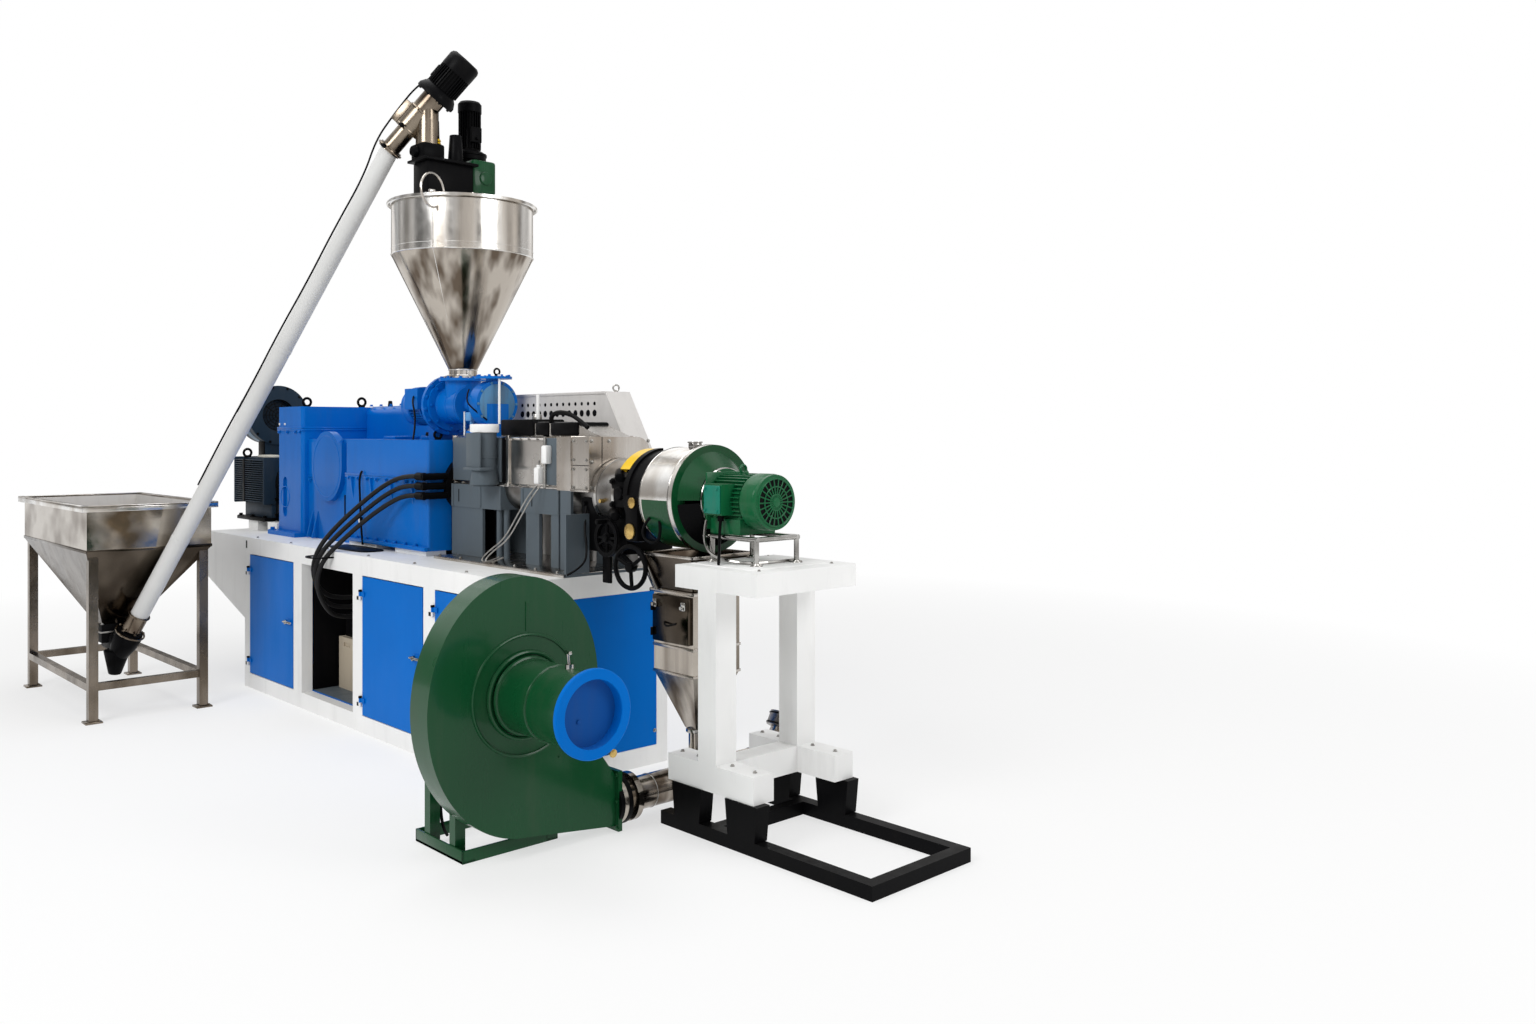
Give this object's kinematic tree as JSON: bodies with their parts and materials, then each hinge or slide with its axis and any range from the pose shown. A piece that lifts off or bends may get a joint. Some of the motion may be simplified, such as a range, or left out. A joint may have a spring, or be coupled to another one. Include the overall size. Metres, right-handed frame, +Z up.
{
  "type": "single screw extruder",
  "caption": "Single screw extruder on a long cabinet base with force feeder, hopper, auger loader, die-face cutter on floor rails and pellet blower.",
  "frame": {"origin": "on the floor under the screw axis, at the middle of the base cabinet's length, on the underside of its middle cross beam", "axes": "+X along the screw from the main motor towards the die and cutter, +Y towards the back of the machine, +Z up"},
  "size_m": [5.64, 2.0537, 3.4302],
  "materials": {
    "frame_white": "satin",
    "door_blue": "satin",
    "gear_blue": "satin",
    "black_paint": "satin",
    "slate_paint": "satin",
    "stainless": "brushed",
    "grey_paint": "satin",
    "guard_paint": "satin",
    "green_paint": "satin",
    "motor_green": "satin",
    "beige_paint": "satin",
    "machined_steel": "machined",
    "pale_tube": "smooth",
    "hose_rubber": "matt"
  },
  "bodies": {
    "machine": {"base_long_beams": "frame_white", "base_cross_beams": "frame_white", "base_posts": "frame_white", "base_deck": "frame_white", "base_panels": "door_blue", "motor_shelf": "frame_white", "door_hinges": "frame_white", "oil_tank": "beige_paint", "oil_pump": "black_paint", "main_motor": "slate_paint", "motor_blower": "slate_paint", "packers": "frame_white", "gear_end_block": "gear_blue", "gear_housing": "gear_blue", "gear_cover": "gear_blue", "feed_flange": "black_paint", "barrel": "machined_steel", "zone_boxes": "grey_paint", "zone_hoods": "stainless", "zone_duct": "grey_paint", "barrel_stand": "grey_paint", "end_cover": "stainless", "rear_guard": "guard_paint", "die_head": "machined_steel", "die_block": "black_paint", "handwheel": "black_paint", "feeder_drive": "gear_blue", "feeder_body": "gear_blue", "hopper_shell": "stainless", "hopper_lid": "stainless", "agitator_gearbox": "black_paint", "agitator_motor": "black_paint", "bin_shell": "stainless", "bin_stand": "stainless", "auger_tube": "pale_tube", "auger_boot": "black_paint", "auger_head": "stainless", "auger_motor": "black_paint", "floor_rails": "black_paint", "rail_cross_bars": "black_paint", "collector_mouth": "stainless", "collector_box": "stainless", "blower_scroll": "green_paint", "blower_motor": "green_paint", "blower_stand": "green_paint", "pickup_pipe": "stainless", "pipe_coupling": "machined_steel", "hose_1": "hose_rubber", "hose_2": "hose_rubber", "hose_3": "hose_rubber"},
    "door_1_leaf": {"door_1": "door_blue"},
    "door_2_leaf": {"door_2": "door_blue"},
    "door_3_leaf": {"door_3": "door_blue"},
    "cutter_carriage": {"cutter_drum": "stainless", "cutter_cover": "green_paint", "cutter_motor": "motor_green", "motor_frame": "machined_steel", "stand_table": "frame_white", "stand_legs": "frame_white", "rail_brackets": "black_paint"}
  },
  "joints": [
    {"name": "door_1_hinge", "type": "hinge", "parent": "machine", "child": "door_1_leaf", "pos_m": [-1.426, -0.479, 0.43], "axis": [0, 0, -1], "range_deg": [0, 40]},
    {"name": "door_2_hinge", "type": "hinge", "parent": "machine", "child": "door_2_leaf", "pos_m": [0.048, -0.479, 0.43], "axis": [0, 0, -1], "range_deg": [0, 110]},
    {"name": "door_3_hinge", "type": "hinge", "parent": "machine", "child": "door_3_leaf", "pos_m": [0.785, -0.479, 0.43], "axis": [0, 0, -1], "range_deg": [0, 110]},
    {"name": "cutter_slide", "type": "slide", "parent": "machine", "child": "cutter_carriage", "axis": [1, 0, 0], "range_m": [0, 0.45]}
  ]
}
